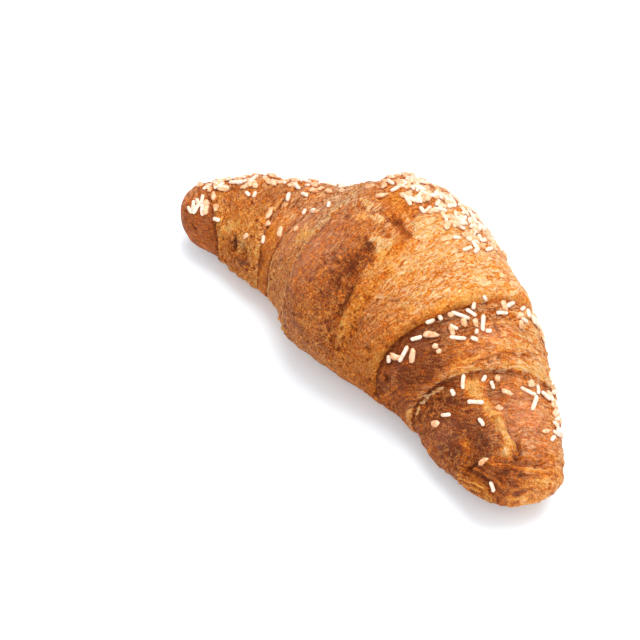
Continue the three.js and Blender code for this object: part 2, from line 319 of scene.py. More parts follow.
# ---- unevenness: pitch in mm, seed, octaves, height, change in brownness; egg wash smooths the last one
UNEVENNESS = ((12, 41, 3, 0.5, 0.12), (4.5, 51, 3, 0.5, 0.08), (1.8, 61, 2, 0.35, -0.11))
# Flows of colour along the layers: pitch and strength
FLOWS, FLOWS_BROWN = (4.5, 26, 26), 0.2
GLOSS_SMOOTHS, LEAST_SHARE = 0.7, 0.2
# Layers of dough: how far they wander, how sharp their edges are; pitch, height and lightness of these
WANDER, FINE_WANDER, SHARPNESS = 1.5, 0.5, 2.5
THICK, THICK_HEIGHT, THICK_LIGHT = (3.2, 16, 16), 0.6, 0.18
THIN, THIN_HEIGHT, THIN_LIGHT = (1.3, 6, 6), 0.3, 0.22

# ---- sugar
ROD = SimpleNamespace(radius=(0.62, 0.74), length=(2.4, 5.2), rise=0.65)
GRAIN = SimpleNamespace(radius=(0.8, 1.2), length=(1.8, 4), rise=0.35, lumps=0.55, flatness=0.75)
# How far a rod's ends close (at 1 they would come to a point), how uneven and bent it is, and how flat
END_CLOSING, ROD_UNEVENNESS, ROD_BEND, ROD_FLATNESS = 0.97, 0.1, 0.25, 0.9
# The part of a grain that follows the crust, how far from the tips, and from how high the crust is sought
FOLLOWS, TIP_MARGIN, PROBE_HEIGHT = 0.8, 0.2, 9
# How closely strewn grains gather towards the middle of their area, along the roll and round it
GATHERED_ALONG, GATHERED_AROUND = 1.6, 1.5
SUGAR_SEED = 5
# Grains that lie apart: distance, angle, turn from the roll's direction towards its front, length
WHITE_RODS = {
    "star on slender tip": (
        (5, 122, 80, 4), (6.5, 124, 100, 5), (8, 118, 20, 3), (8.5, 127, 70, 3.2), (6, 112, 60, 3),
        (4.4, 131, 60, 3), (7.2, 106, 80, 3.6),
    ),
    "slender end": (
        (14.6, 132, 0, 3.2), (20.5, 88, 30, 2.4), (22.6, 87, 75, 2.8), (33.9, 135, 80, 2.8),
        (33.8, 86, 65, 4.2),
    ),
    "thin wrap": ((38, 81, 15, 3), (51.2, 91, 50, 3.2), (47.5, 97, 8, 3.6), (42.5, 96, 70, 2.6)),
    "stretched wrap": ((97.2, 66, 85, 4.4), (98.3, 60, 70, 3.2), (98.3, 47, 80, 4)),
    "behind laminated seam": (
        (110.8, 150.5, 60, 2.6), (113.9, 138.5, 77, 5.8), (113, 123.7, -68, 3.8), (111.4, 109.2, -80, 3.2),
        (112.3, 102, 10, 2.2), (116.4, 98, -37, 3), (119.5, 99.5, -62, 5.3), (121.6, 90.8, -45, 2.6),
        (114.3, 91, -32, 6.3), (114.8, 85.5, -28, 3.9), (113.3, 81.5, 47, 3.2), (120, 88, 40, 1.8),
        (118.5, 81.5, 30, 5.6), (120.8, 80, -75, 2.2), (112.1, 73.5, -55, 2.6), (117.2, 64.5, -85, 4.6),
        (114.9, 52, 75, 5), (115.8, 41, 70, 4.4), (117, 37, 40, 3.8), (119.3, 45, -70, 3),
    ),
    "blunt wrap": (
        (131, 110, 33, 4.8), (138, 108, -66, 5.2), (132.2, 122.4, 5, 2.4), (137, 139.5, -62, 3.4),
        (144.6, 111, -12, 3.4), (132.2, 94.5, 52, 2.6), (134.9, 90.5, -3, 2.8), (138.7, 63.5, -66, 5.6),
        (142.1, 61, 38, 6), (138.1, 52.5, 20, 3.6), (139.5, 43, -70, 4), (151.6, 41, 60, 3.2),
    ),
    "curled end": ((163, 146, 80, 3.6),),
}
TOASTED_GRAINS = {
    "slender end": (
        (9.4, 122, 85, 3.8), (8.8, 111, 60, 3), (12.8, 117, 80, 2.6), (10, 95, 80, 3),
        (28, 139, -60, 2.2), (31.5, 107, 85, 4.2), (33, 117, 30, 2.4),
    ),
    "thin wrap": ((39.6, 121, 70, 3.6), (48.7, 117, 60, 2.4), (49.5, 98, 0, 3.2)),
    "behind laminated seam": (
        (112.3, 144.5, -30, 3.6), (116.5, 133.5, 54, 4.6), (114.9, 114.5, -52, 4.6), (118.5, 116, -50, 2),
        (120.3, 115.5, 90, 1.6), (117, 100.5, 10, 3.6), (116.4, 91.5, 20, 3), (117.9, 86, 20, 2.8),
        (115.4, 60, 25, 4.2), (118.3, 48, 70, 3), (120.5, 52, 10, 2.6), (113, 96, 20, 2.2),
    ),
    "blunt wrap": (
        (136.8, 155.5, -50, 2.8), (133.6, 86.5, 25, 2.4), (138.1, 83, -48, 3.6), (142.3, 92.5, -40, 2.2),
        (136.6, 59, 75, 3), (149.7, 50.5, 80, 3), (157.3, 127, 85, 3.2),
    ),
}
# Strewn areas: from and to along the roll, from and to round it, how many white rods and toasted grains
STREWN = {
    "top of slender tip": (3, 15, 58, 86, 6, 10),
    "front of crown": (62, 84, 44, 78, 22, 36),
    "crown": (76, 98, 34, 68, 30, 40),
    "edge of crown": (58, 80, 58, 84, 10, 16),
    "ridge of slender end": (8, 48, 52, 78, 10, 20),
    "back of slender end": (10, 50, 5, 55, 12, 14),
    "back of crown": (56, 100, 0, 40, 34, 30),
    "back of laminated wrap": (112, 122, 0, 36, 12, 10),
    "back of blunt end": (132, 152, 4, 40, 12, 8),
}

# ---- colours, as they look on a screen
CRUST_COLOURS = (
    (0, (245, 172, 84)),
    (0.15, (236, 138, 44)),
    (0.3, (219, 114, 30)),
    (0.45, (198, 99, 25)),
    (0.6, (173, 84, 24)),
    (0.8, (144, 66, 21)),
    (1, (116, 51, 19)),
)
# Colour of a painted sheen: the soft reflection of the lamps on shiny egg wash
SHEEN_COLOUR = (206, 138, 110)
PALE_FLAKE = (253, 211, 158)
# Colour of light curls of flake, and of the painted glints strewn with them
CURL_AND_GLINT = (242, 154, 78)
WHITE_SUGAR, CREAM_SUGAR = (242, 220, 204), (230, 190, 160)
PINK_SUGAR, AMBER_SUGAR = (236, 192, 156), (214, 144, 86)

# What the material reads at each point of the crust; all but the last come from the wraps' table
FIELDS = ("brown", "pale", "blistered", "laminated", "uneven", "glossy")

# ---- textures of the crust's material: scale, detail, roughness and distortion of their noise
MOTTLE = (420, 4, 0.62, 0.6)
SPECKLE = (1500, 3, 0.6, 0)
FIBRES = (0.8, 4, 0.6, 0.5)
SCALES = (1.3, 4, 0.65, 1)
PITS = (1000, 2, 0.5, 0)
CURLS = (620, 3, 0.55, 1.2)
BREAKS = (500, 2, 0.55, 0)
WARP_SCALE, WARP = 350, 0.002
CELL_SCALE, CELL_SEAM, CELL_LEVEL = 780, 0.28, 0.6
FIBRE_WIDTH, SCALE_WIDTH = 0.1, 0.3
# Values of the noise between which each texture fades in
PIT_EDGE, CURL_EDGE, BREAK_EDGE = (0.1, 0.17), (0.09, 0.02), (-0.02, 0.06)
FLAKE_EDGE, SHEEN_EDGE = (0.05, -0.12), (-0.2, 0.15)
# How much each texture browns, stands out and roughens; how much of each colour comes through
# The pits' browning is painted shade in them
BROWNING = {"mottle": 0.8, "speckle": 1.8, "fibres": 1.4, "scales": 0.8, "cells": -0.2, "pits": 0.25}
RELIEF = {
    "mottle": 1,
    "speckle": 0.6,
    "scales": -1.4,
    "fibres": -1.6,
    "cells": 0.45,
    "pits": -0.4,
    "curls": 0.25,
}
ROUGHENING = {"speckle": 0.5, "glossy": -0.2}
ROUGHNESS, SPECULAR, BUMP = 0.52, 0.12, 0.0012
FLAKE_SHARE, CURL_SHARE, SHEEN_SHARE = 0.9, 0.5, 0.5
# The first: how much shiny egg wash smooths the textures; the second: how far the light curls also show away
# from blisters, as painted glints, tiny pale highlights all over
GLOSS_DULLS, GLINTS_EVERYWHERE = 0.55, 0.25
# Blotches in the sugar, as above
BLOTCH, BLOTCH_EDGE = (700, 3, 0.55, 0), (-0.15, 0.2)
SUGAR_BUMP, SUGAR_BUMP_STRENGTH = 0.0003, 0.4

# ---- light: direction, distance and size in metres, power in watts
LAMPS = {
    "key": ((0, 0.26, 1), 1.1, 0.9, 13),
    "fill": ((0.76, -0.65, 1), 1.5, 1.5, 11),
}
WORLD_STRENGTH = 0.65
FLOOR_COLOUR, FLOOR_GLOW, FLOOR_HALF = (0.82, 0.9, 0.96, 1), 0.14, 3

# ---- fineness
ROW_PITCH, ROW_BUNCHING, LEAST_ROWS = 0.41, 0.5, 8
# Extra rows between each tip and the row next to it, as parts of the way from the tip
TIP_ROWS = np.array((0.03, 0.2, 0.5))
SEEN_FROM, SEEN_TO = -25, 205
SEEN_COLUMNS, HIDDEN_COLUMNS = 210, 34
LATTICE, NOISE_GAIN = 32, 1.6
# Below the shoulder the layers of dough run askew, so many mm along for each degree towards the foot
SLANT_FROM, SLANT_TO, SLANT = 120, 190, 0.22
SLANT_FADE = 3


# ==== the croissant's form
def through(values, place):
    """A smooth curve through evenly spaced values, at places from 0 to 1."""
    values = np.asarray(values, float)
    last = len(values) - 1
    slopes = np.gradient(values)
    x = np.clip(place, 0, 1) * last
    i = np.minimum(np.floor(x).astype(int), last - 1)
    t = x - i
    ease = t * t * (3 - 2 * t)
    leave = t * (1 - t) ** 2 * slopes[i]
    arrive = t * t * (t - 1) * slopes[i + 1]
    return values[i] * (1 - ease) + values[i + 1] * ease + leave + arrive


def signed_power(value, power):
    return np.sign(value) * np.abs(value) ** power


def tip_rounding(distance):
    def oval(inward, tip):
        return (1 - np.clip(1 - inward / tip.length, 0, 1) ** tip.power) ** (1 / tip.power)

    return oval(distance, SLENDER_TIP) * oval(LENGTH - distance, BLUNT_TIP)


def tip_lift(distance):
    def curl(inward):
        return np.clip(1 - inward / (LENGTH * LIFT_REACH), 0, 1) ** 2

    return SLENDER_TIP.lift * curl(distance) + BLUNT_TIP.lift * curl(LENGTH - distance)


def body_points(distance, angle):
    """Points of the smooth body, before wraps and unevenness."""
    width = through(WIDTHS, distance / LENGTH)
    height = through(HEIGHTS, distance / LENGTH)
    rounding = tip_rounding(distance)
    side = 2 * distance / LENGTH - 1
    spine_y = BOW * (1 - np.abs(side) ** BOW_POWER)
    slope = -BOW * BOW_POWER * signed_power(side, BOW_POWER - 1) * 2 / LENGTH
    across = width * rounding / 2 * signed_power(np.cos(angle), 2 / OVAL_POWER)
    up = signed_power(np.sin(angle), 2 / OVAL_POWER) * rounding * height
    half = np.where(up > 0, 1 - WIDEST_AT, WIDEST_AT * UNDERSIDE_DEPTH)
    z = np.maximum(WIDEST_AT * height + half * up, 0) + tip_lift(distance)
    run = np.hypot(slope, 1)
    return np.stack([distance - LENGTH / 2 - across * slope / run, spine_y + across / run, z], -1)


def outward_normals(distance, angle, probe_distance=0.05, probe_angle=0.002):
    before = body_points(np.maximum(distance - probe_distance, 0), angle)
    after = body_points(np.minimum(distance + probe_distance, LENGTH), angle)
    around = body_points(distance, angle + probe_angle) - body_points(distance, angle - probe_angle)
    normals = np.cross(around, after - before)
    return normals / np.maximum(np.linalg.norm(normals, axis=-1, keepdims=True), 1e-12)


def seam_place(seam, angle):
    front, top, back = seam[:3]
    to_back = np.cos(angle)
    return top + (back - front) / 2 * to_back + ((front + back) / 2 - top) * to_back**2


def bell(value):
    """1 at zero, fading to 0 on both sides."""
    return np.exp(-(value**2))


def patch_weight(patch, distance, angle):
    """1 in the middle of a patch, fading to 0 around it."""
    at, middle, along, around = patch[:4]
    radius = through(WIDTHS, at / LENGTH) / 2
    turn = np.mod(angle - math.radians(middle) + math.pi, 2 * math.pi) - math.pi
    return bell((distance - at) / along) * bell(turn * radius / around)


# ==== noise
def noise(points, pitch, seed):
    """Smooth noise from about -1 to 1 through space; pitch is the size of its lumps along each axis."""
    slopes = np.random.default_rng(seed).normal(size=(LATTICE, LATTICE, LATTICE, 3))
    slopes /= np.linalg.norm(slopes, axis=-1, keepdims=True)
    place = points / pitch
    cell = np.floor(place).astype(int)
    part = place - cell
    ease = part**3 * (part * (part * 6 - 15) + 10)
    total = np.zeros(points.shape[:-1])
    for corner in itertools.product((0, 1), repeat=3):
        index = tuple(np.moveaxis((cell + corner) % LATTICE, -1, 0))
        rise = np.sum(slopes[index] * (part - corner), axis=-1)
        total += rise * np.prod(np.where(np.array(corner) == 1, ease, 1 - ease), axis=-1)
    return total * NOISE_GAIN


def fractal(points, pitch, seed, octaves=3):
    """Noise on noise, each octave half as large and half as strong."""
    pitch = np.asarray(pitch, float)
    layers = [noise(points, pitch / 2**k, seed + k) / 2**k for k in range(octaves)]
    return sum(layers) / sum(0.5**k for k in range(octaves))


# ==== the crust
def crust_angles():
    """Angles round the roll: close together where the crust is seen, further apart underneath."""
    seen = np.linspace(SEEN_FROM, SEEN_TO, SEEN_COLUMNS, endpoint=False)
    hidden = np.linspace(SEEN_TO, SEEN_FROM + 360, HIDDEN_COLUMNS, endpoint=False)
    return np.radians(np.concatenate([seen, hidden]))


def close_tips(rows):
    """Adds rows near the tips, where the form turns in quickly."""
    parts = TIP_ROWS.reshape((-1,) + (1,) * (rows.ndim - 1))
    return np.concatenate([rows[0] * parts, rows, LENGTH - (LENGTH - rows[-1]) * parts[::-1]])


def crust_rows(angles):
    """Rows parallel to the seams: their distances, and each row's place along the top."""
    rows, places = [], []
    for first, last in itertools.pairwise(((0, 0, 0), *SEAMS, (LENGTH, LENGTH, LENGTH))):
        start, end = seam_place(first, angles), seam_place(last, angles)
        top, next_top = first[1], last[1]
        count = max(LEAST_ROWS, round((next_top - top) / ROW_PITCH))
        t = np.arange(count) / count
        t = t - ROW_BUNCHING * np.sin(2 * math.pi * t) / (2 * math.pi)
        rows.append(start + (end - start) * t[:, None])
        places.append(top + (next_top - top) * t)
    return close_tips(np.concatenate(rows)[1:]), close_tips(np.concatenate(places)[1:])


def smooth_step(value):
    t = np.clip(value, 0, 1)
    return t * t * (3 - 2 * t)


def bake(crust):
    """How brown, pale, blistered, laminated and uneven each wrap came out, from its back to its foot; its
    paleness at the back and on top is partly a painted sheen.
    """
    place = (crust.turn - PROFILE_FROM) / (PROFILE_TO - PROFILE_FROM)
    fray = fractal(crust.points, pitch=5, seed=15)
    weights = [np.ones_like(place)]
    for seam, edge in zip(SEAMS, EDGES):
        blend = edge[5]
        past = crust.distance - seam_place(seam, crust.angle) + blend * fray
        passed = smooth_step(past / blend + 0.5)
        weights[-1] = weights[-1] * (1 - passed)
        weights.append(passed)
    for column, field in enumerate(FIELDS[:-1], 1):
        total = np.zeros_like(place)
        for weight, wrap in zip(weights, WRAPS):
            level = wrap[column]
            total += weight * (through(level, place) if isinstance(level, tuple) else level)
        setattr(crust, field, total)


def layers_of_dough(crust, place):
    """Coordinates in which the layers lie flat: the first counts mm along the roll."""
    below = np.minimum(crust.turn - SLANT_FROM, UNDERSIDE - crust.turn)
    inward = np.minimum(crust.distance, LENGTH - crust.distance)
    slant = np.clip(below, 0, SLANT_TO - SLANT_FROM) * np.clip(inward / SLANT_FADE, 0, 1)
    strata = crust.points.copy()
    strata[..., 0] = place[:, None] + SLANT * slant
    strata[..., 0] += WANDER * fractal(crust.points, pitch=13, seed=11)
    strata[..., 0] += FINE_WANDER * fractal(crust.points, pitch=4, seed=12)
    return strata


def start_crust():
    """The smooth body as a grid, with how far each point stands out (mm) and how it is baked."""
    angles = crust_angles()
    distance, place = crust_rows(angles)
    crust = SimpleNamespace(distance=distance, angle=np.broadcast_to(angles, distance.shape))
    turn = np.degrees(crust.angle)
    crust.turn = np.where(turn > UNDERSIDE, turn - 360, turn)
    crust.points = body_points(distance, crust.angle)
    crust.normals = outward_normals(distance, crust.angle)
    crust.height = np.zeros_like(distance)
    bake(crust)
    crust.strata = layers_of_dough(crust, place)
    return crust


def add_seams(crust):
    openness = np.clip(CLOSING_LEVEL + CLOSING_SLOPE * np.sin(crust.angle), CLOSING_LEAST, 1)
    ragged = RAGGED * fractal(crust.points, pitch=4, seed=21)
    ragged += FINELY_RAGGED * fractal(crust.points, pitch=1.5, seed=22)
    uneven = RIM_LEVEL + RIM_FRAY * fractal(crust.points, pitch=7, seed=25)
    for seam, edge in zip(SEAMS, EDGES):
        over, step = seam[3:]
        before, lip_highlight, lip_reach, shoulder_shade, shoulder_reach, _, sharpness, lip_flake_and_highlight = edge
        inward = (crust.distance - seam_place(seam, crust.angle)) * over + ragged
        above, below = np.maximum(inward, 0), np.minimum(inward, 0)
        lip = LIP_HEIGHT * np.exp(-above / LIP_REACH) * (1 - np.exp(-above / LIP_ROUNDING))
        lip -= SINK_DEPTH * np.exp(-above / SINK_ROUNDING)
        sink = -SINK_DEPTH * np.exp(below / SINK_REACH)
        crease = -CREASE_DEPTH * bell(inward / CREASE_REACH)
        crust.height += step * openness * (np.where(inward > 0, lip, sink) + crease)
        inward = inward + before
        above, below = np.maximum(inward, 0), np.minimum(inward, 0)
        rim = RIM_HEIGHT * bell((above - RIM_REACH) / RIM_REACH)
        foot = -RIM_FOOT * bell(below / RIM_FOOT_REACH)
        crust.height += sharpness * np.where(inward > 0, rim, foot) * uneven
        # Painted light and shade: the lip is lighter where it catches the light, the shoulder is darker in
        # the lip's shade, and a painted dark line sits in the crease just past the lip's edge
        lit_lip = np.where(inward > 0, bell(above / lip_reach), 0)
        shaded_shoulder = np.where(inward > 0, 0, bell(below / shoulder_reach))
        crust.brown += lip_highlight * lit_lip + shoulder_shade * shaded_shoulder
        crust.brown += SHADE * sharpness * bell((inward + SHADE_BEFORE) / SHADE_REACH)
        crust.pale += lip_flake_and_highlight * lit_lip


def add_swells(crust):
    for swell in (*SWELLS.values(), *DETAILS.values()):
        crust.height += swell[4] * patch_weight(swell, crust.distance, crust.angle)
    for height, x, y, z, phase in LUMPS:
        crust.height += height * np.sin(crust.points @ np.array([1 / x, 1 / y, 1 / z]) + phase)


def frayed_weight(patch, crust):
    """A patch's weight, with its edges drawn out by noise."""
    at, _, along, around = patch[:4]
    radius = through(WIDTHS, at / LENGTH) / 2
    distance = crust.distance + PATCH_FRAY * along * crust.fray[0]
    angle = crust.angle + PATCH_FRAY * around / radius * crust.fray[1]
    return patch_weight(patch, distance, angle)


def add_patches(crust):
    crust.fray = (fractal(crust.points, pitch=3, seed=31), fractal(crust.points, pitch=3, seed=35))
    for patch in PATCHES.values():
        weight = PATCH_STRENGTH * frayed_weight(patch, crust)
        crust.brown += patch[4] * weight
        crust.pale += patch[5] * weight
    crust.glossy = sum(patch[4] * frayed_weight(patch, crust) for patch in GLOSSY.values())


def add_unevenness(crust):
    smooth = np.clip(1 - GLOSS_SMOOTHS * crust.glossy, LEAST_SHARE, 1)
    browning = FLOWS_BROWN * fractal(crust.strata, FLOWS, seed=45)
    for (pitch, seed, octaves, height, brown), share in zip(UNEVENNESS, (1, 1, smooth)):
        lumps = fractal(crust.points, pitch, seed, octaves) * share
        crust.height += height * lumps
        browning += brown * lumps
    crust.brown += crust.uneven * browning


def add_layers(crust):
    """Edges of the thin layers of dough, which run along each wrap."""
    thick = 1 - SHARPNESS * np.abs(fractal(crust.strata, THICK, seed=71))
    thin = fractal(crust.strata, THIN, seed=81)
    crust.height += crust.laminated * (THICK_HEIGHT * thick + THIN_HEIGHT * thin)
    crust.brown -= crust.laminated * (THICK_LIGHT * thick + THIN_LIGHT * thin)


def add_bubble(crust, place, radius, brown, pale, burst):
    """A bubble of the given radius, whole or burst, in the part of the grid around its place."""
    row, column = place
    rows, columns = crust.distance.shape
    window = np.ix_(
        np.arange(max(row - BUBBLE_REACH, 0), min(row + BUBBLE_REACH + 1, rows)),
        np.arange(column - BUBBLE_REACH, column + BUBBLE_REACH + 1) % columns,
    )
    gap = np.linalg.norm(crust.points[window] - crust.points[row, column], axis=-1) / radius
    if burst:
        dip = bell(gap / PIT_SIZE)
        crust.height[window] -= PIT_DEPTH * dip
        # Painted shade in the pit
        crust.brown[window] += PIT_SHADE * dip
    else:
        dome = np.clip(1 - gap**2, 0, 1) ** DOME_POWER
        crust.height[window] += DOME_HEIGHT * radius * dome
        crust.brown[window] += brown * dome
        crust.pale[window] += pale * dome


def add_blisters(crust):
    """Small bubbles that rose under the egg wash. Some of them burst."""
    rng = np.random.default_rng(BLISTER.seed)
    rows = len(crust.distance)
    for _ in range(BLISTER.tries):
        place = (rng.integers(BLISTER.margin, rows - BLISTER.margin), rng.integers(0, SEEN_COLUMNS))
        radius = rng.uniform(*BLISTER.radius)
        burst = rng.random() < BLISTER.burst
        brown = rng.choice(BLISTER.browns)
        if rng.random() <= crust.blistered[place]:
            add_bubble(crust, place, radius, brown, 0, burst)


def nearest(crust, distance, angle):
    """The grid point nearest to a distance and an angle in degrees: its row and column."""
    column = int(np.argmin(np.abs(crust.angle[0] - math.radians(angle))))
    row = int(np.argmin(np.abs(crust.distance[:, column] - distance)))
    return row, column


def add_cluster(crust, clusters, kind):
    seed, radius, change = kind
    rng = np.random.default_rng(seed)
    for at, middle, along, around, count in clusters.values():
        for _ in range(count):
            distance, angle = at + along * rng.uniform(-1, 1), middle + around * rng.uniform(-1, 1)
            add_bubble(crust, nearest(crust, distance, angle), rng.uniform(*radius), *change)


def add_pearls(crust):
    seed, radius, change = PEARL
    rng = np.random.default_rng(seed)
    seam, past, wander, middle, around, count = PEARLS
    for number in range(count):
        angle = middle + around * (2 * (number + rng.random()) / count - 1)
        at = seam_place(SEAMS[seam], math.radians(angle)) + past + rng.uniform(-wander, wander)
        add_bubble(crust, nearest(crust, at, angle), rng.uniform(*radius), *change)


def finish_crust(crust):
    tips = np.clip(crust.distance / SLENDER_TIP.fade, 0, 1)
    tips = tips * np.clip((LENGTH - crust.distance) / BLUNT_TIP.fade, 0, 1)
    above_tray = np.clip(crust.points[..., 2] / FADE_HEIGHT, 0, 1)
    crust.points += crust.normals * (crust.height * tips * above_tray)[..., None]
    crust.points[..., 2] = np.maximum(crust.points[..., 2], 0)


def grow_crust():
    crust = start_crust()
    add_seams(crust)
    add_swells(crust)
    add_patches(crust)
    add_unevenness(crust)
    add_layers(crust)
    add_blisters(crust)
    add_cluster(crust, PORES, PORE)
    add_pearls(crust)
    add_cluster(crust, CRUMBS, CRUMB)
    finish_crust(crust)
    return crust


def grid_faces(rows, columns):
    """Quads between the rows, and a fan of triangles at each tip."""
    row, column = np.meshgrid(np.arange(rows - 1), np.arange(columns), indexing="ij")
    beside = (column + 1) % columns
    here, ahead = row * columns, (row + 1) * columns
    quads = np.stack([here + column, here + beside, ahead + beside, ahead + column], -1)
    faces = quads.reshape(-1, 4).tolist()
    slender, blunt = rows * columns, rows * columns + 1
    last = (rows - 1) * columns
    for i in range(columns):
        j = (i + 1) % columns
        faces.append([slender, j, i])
        faces.append([last + i, last + j, blunt])
    return faces


def mesh_object(name, points, faces, material):
    mesh = bpy.data.meshes.new(name)
    mesh.from_pydata([tuple(p) for p in points], [], faces)
    mesh.validate()
    mesh.shade_smooth()
    mesh.materials.append(material)
    piece = bpy.data.objects.new(name, mesh)
    bpy.context.scene.collection.objects.link(piece)
    return piece


def add_attribute(mesh, name, values):
    kind, field = ("FLOAT_VECTOR", "vector") if values.ndim > 1 else ("FLOAT", "value")
    attribute = mesh.attributes.new(name, kind, "POINT")
    attribute.data.foreach_set(field, np.ascontiguousarray(values, np.float32).ravel())


def with_tips(grid, slender, blunt):
    """A grid's values as one list, followed by those of the two points at the tips."""
    return np.concatenate([grid.reshape((-1,) + grid.shape[2:]), [slender, blunt]])


def make_crust(material):
    """The crust's mesh, with its bottom centre where the CAD solid has it, and how far that moved it."""
    crust = grow_crust()
    rows, columns = crust.distance.shape
    tips = [body_points(np.array(end), np.array(0.0)) for end in (0.0, float(LENGTH))]
    points = with_tips(crust.points, *tips)
    low, high = (np.array(corner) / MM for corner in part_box("croissant"))
    middle = (points.min(0) + points.max(0)) / 2
    shift = np.array([*((low + high) / 2 - middle)[:2], low[2]])
    piece = mesh_object("crust", (points + shift) * MM, grid_faces(rows, columns), material)
    for name in (*FIELDS, "strata"):
        values = getattr(crust, name)
        add_attribute(piece.data, name, with_tips(values, values[0].mean(0), values[-1].mean(0)))
    return piece, shift


# ==== sugar
class Ground:
    """The finished crust, as something to put sugar on."""

    def __init__(self, piece, shift):
        mesh = piece.data
        points = np.empty(len(mesh.vertices) * 3)
        mesh.vertices.foreach_get("co", points)
        faces = [tuple(face.vertices) for face in mesh.polygons]
        self.tree = BVHTree.FromPolygons((points.reshape(-1, 3) / MM).tolist(), faces)
        self.shift = shift

    def spot(self, distance, angle):
        """The crust's surface and the smooth body's normal, at a distance and an angle in degrees."""
        turn = np.radians(angle)
        point = body_points(np.array(distance), turn) + self.shift
        normal = outward_normals(np.array(distance), turn)
        hit = self.tree.ray_cast(Vector(point + PROBE_HEIGHT * normal), Vector(-normal))
        place = np.array(hit[0]) if hit[0] else point
        return place, normal


def grain_frame(ground, distance, angle, turn, length):
    """Where a grain lies: its centre, and its directions along, across and away from the crust."""
    length = FOLLOWS * length
    radius = through(WIDTHS, np.array(distance / LENGTH)) / 2
    along = math.cos(math.radians(turn)) * length / 2
    around = math.degrees(math.sin(math.radians(turn)) * length / 2 / radius)
    first, normal = ground.spot(max(distance - along, TIP_MARGIN), angle - around)
    last, _ = ground.spot(min(distance + along, LENGTH - TIP_MARGIN), angle + around)
    middle, _ = ground.spot(distance, angle)
    ahead = last - first
    ahead /= np.linalg.norm(ahead)
    across = np.cross(normal, ahead)
    across /= np.linalg.norm(across)
    up = np.cross(ahead, across)
    centre = (first + last) / 2
    centre += up * max(0, float((middle - centre) @ up))
    return centre, ahead, across, up


def rod_grid(rng, length, radius, rings=9, sides=10):
    """A rod with rounded ends, slightly bent and uneven: points along, across and up."""
    t = np.linspace(-1, 1, rings)[:, None]
    turn = np.linspace(0, 2 * math.pi, sides, endpoint=False)[None, :]
    along = np.sin(t * math.pi / 2) * length / 2
    inset = END_CLOSING * np.maximum(np.abs(along) - (length / 2 - radius), 0) / radius
    uneven = 1 + ROD_UNEVENNESS * rng.uniform(-1, 1, (rings, sides))
    thick = radius * np.sqrt(1 - inset**2) * uneven
    bend = rng.uniform(-ROD_BEND, ROD_BEND) * (1 - t**2)
    across = thick * np.cos(turn) + bend
    return np.stack(np.broadcast_arrays(along, across, thick * np.sin(turn) * ROD_FLATNESS), -1)


def white_rod(rng, length):
    """A pressed rod, and how high its middle lies above the crust."""
    radius = rng.uniform(*ROD.radius)
    return rod_grid(rng, length, radius), ROD.rise * radius


def toasted_grain(rng, length):
    """A grain that began to melt: flatter, lumpier and sunk further into the crust."""
    radius = min(rng.uniform(*GRAIN.radius), length / 2)
    grid = rod_grid(rng, length, radius)
    lumps = fractal(grid + rng.uniform(0, 90, 3), pitch=1, seed=5, octaves=2)
    grid *= 1 + GRAIN.lumps * lumps[..., None]
    grid[..., 2] *= GRAIN.flatness
    return grid, GRAIN.rise * radius


def add_grain(parts, rng, ground, shape, distance, angle, turn, length):
    """One grain into the joined mesh: its grid becomes rings of faces with closed ends."""
    grid, rise = shape(rng, length)
    centre, ahead, across, up = grain_frame(ground, distance, angle, turn, length)
    points = centre + grid @ np.array([ahead, across, up]) + up * rise
    rings, sides = grid.shape[:2]
    start = len(parts.points)
    parts.points.extend(points.reshape(-1, 3).tolist())
    for ring in range(rings - 1):
        for side in range(sides):
            a, b = start + ring * sides + side, start + ring * sides + (side + 1) % sides
            parts.faces.append([a, b, b + sides, a + sides])
    parts.faces.append([start + side for side in reversed(range(sides))])
    parts.faces.append([start + (rings - 1) * sides + side for side in range(sides)])


def scatter(rng, area):
    """A place in a strewn area: more of them near its middle, none outside it."""
    low, high, back, front = area[:4]
    distance = low + (high - low) * rng.beta(GATHERED_ALONG, GATHERED_ALONG)
    angle = back + (front - back) * rng.beta(GATHERED_AROUND, GATHERED_AROUND)
    return distance, angle


def make_sugar(ground, white, toasted):
    rng = np.random.default_rng(SUGAR_SEED)
    kinds = (
        ("pearl_sugar", white, white_rod, WHITE_RODS, 4, ROD.length),
        ("toasted_sugar", toasted, toasted_grain, TOASTED_GRAINS, 5, GRAIN.length),
    )
    for name, material, shape, placed, count_at, lengths in kinds:
        parts = SimpleNamespace(points=[], faces=[])
        for grain in itertools.chain(*placed.values()):
            add_grain(parts, rng, ground, shape, *grain)
        for area in STREWN.values():
            for _ in range(area[count_at]):
                place = scatter(rng, area)
                add_grain(parts, rng, ground, shape, *place, rng.uniform(0, 180), rng.uniform(*lengths))
        piece = mesh_object(name, np.array(parts.points) * MM, parts.faces, material)
        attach(piece, "root")


# ==== materials
def linear(colour):
    """A colour as seen on screen, 0 to 255, as linear light."""
    parts = [c / 255 for c in colour]
    return [c / 12.92 if c <= 0.04045 else ((c + 0.055) / 1.055) ** 2.4 for c in parts] + [1]


